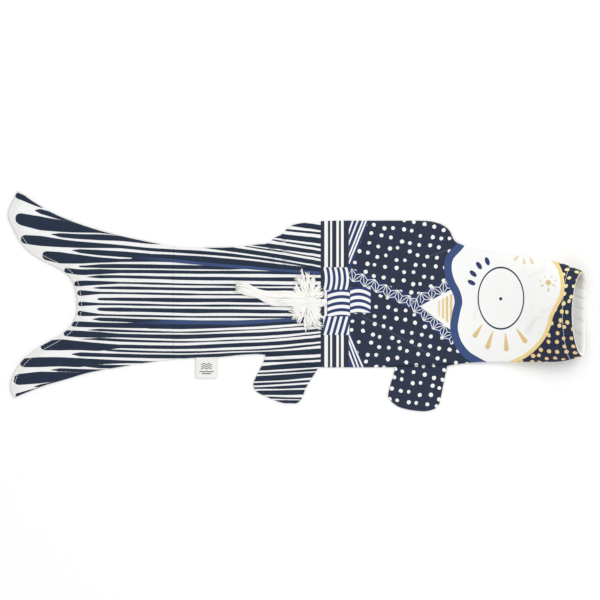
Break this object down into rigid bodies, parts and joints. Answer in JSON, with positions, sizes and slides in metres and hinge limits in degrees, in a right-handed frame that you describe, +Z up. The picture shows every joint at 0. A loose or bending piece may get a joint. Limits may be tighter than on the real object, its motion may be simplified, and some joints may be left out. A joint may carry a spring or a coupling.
{
  "type": "carp streamer",
  "caption": "Flat-lying sewn cotton wind sock shaped like a carp, with a hooped open mouth, forked hemmed tail, hinged fins, folded side label and yarn tassel.",
  "frame": {"origin": "middle of the flat surface that the streamer lies on, under the middle of its overall box", "axes": "+X from the tail to the mouth, +Y from the belly to the back fin, +Z up out of the near side panel"},
  "size_m": [0.6999, 0.2676, 0.0588],
  "materials": {
    "printed_cotton": "matte woven cotton, navy print on white",
    "white_cotton": "matte woven cotton, unprinted",
    "sewing_thread": "white polyester thread",
    "spring_wire": "bright spring wire",
    "ferrule_brass": "crimped tube",
    "label_tape": "smooth white tape",
    "white_yarn": "soft cotton yarn"
  },
  "bodies": {
    "trunk": {"trunk_near_panel": "printed_cotton", "trunk_far_panel": "printed_cotton"},
    "head": {"head_near_panel": "printed_cotton", "head_far_panel": "printed_cotton", "mouth_facing": "white_cotton", "mouth_topstitch": "sewing_thread", "mouth_hoop": "spring_wire", "hoop_ferrule": "ferrule_brass"},
    "rear": {"rear_near_panel": "printed_cotton", "rear_far_panel": "printed_cotton"},
    "tail": {"tail_near_panel": "printed_cotton", "tail_far_panel": "printed_cotton", "tail_near_topstitch": "sewing_thread", "tail_far_topstitch": "sewing_thread"},
    "front_fin": {"front_fin_near_ply": "printed_cotton", "front_fin_far_ply": "printed_cotton"},
    "rear_fin": {"rear_fin_near_ply": "printed_cotton", "rear_fin_far_ply": "printed_cotton"},
    "label": {"sewn_label": "label_tape"},
    "tassel": {"tassel_knot": "white_yarn", "tassel_fringe": "white_yarn", "tassel_lock": "white_yarn"}
  },
  "joints": [
    {"name": "neck_bend", "type": "hinge", "parent": "trunk", "child": "head", "pos_m": [0.192, 0, 0.0015], "axis": [0, -1, 0], "range_deg": [-75, 75]},
    {"name": "waist_bend", "type": "hinge", "parent": "trunk", "child": "rear", "pos_m": [-0.088, 0, 0.0015], "axis": [0, 1, 0], "range_deg": [-75, 75]},
    {"name": "tail_bend", "type": "hinge", "parent": "rear", "child": "tail", "pos_m": [-0.215, 0, 0.0015], "axis": [0, 1, 0], "range_deg": [-75, 75]},
    {"name": "front_fin_flap", "type": "hinge", "parent": "trunk", "child": "front_fin", "pos_m": [0.151, -0.0815, 0.00075], "axis": [-1, 0, 0], "range_deg": [-80, 80]},
    {"name": "rear_fin_flap", "type": "hinge", "parent": "trunk", "child": "rear_fin", "pos_m": [-0.005, -0.0736, 0.00075], "axis": [-0.9752, 0.2213, 0], "range_deg": [-80, 80]},
    {"name": "label_flap", "type": "hinge", "parent": "rear", "child": "label", "pos_m": [-0.1093, -0.0695, 0.00075], "axis": [-1, 0, 0], "range_deg": [-80, 80]},
    {"name": "tassel_lift", "type": "hinge", "parent": "trunk", "child": "tassel", "pos_m": [0.036, -0.001, 0.0079], "axis": [0, 1, 0], "range_deg": [0, 120]}
  ]
}
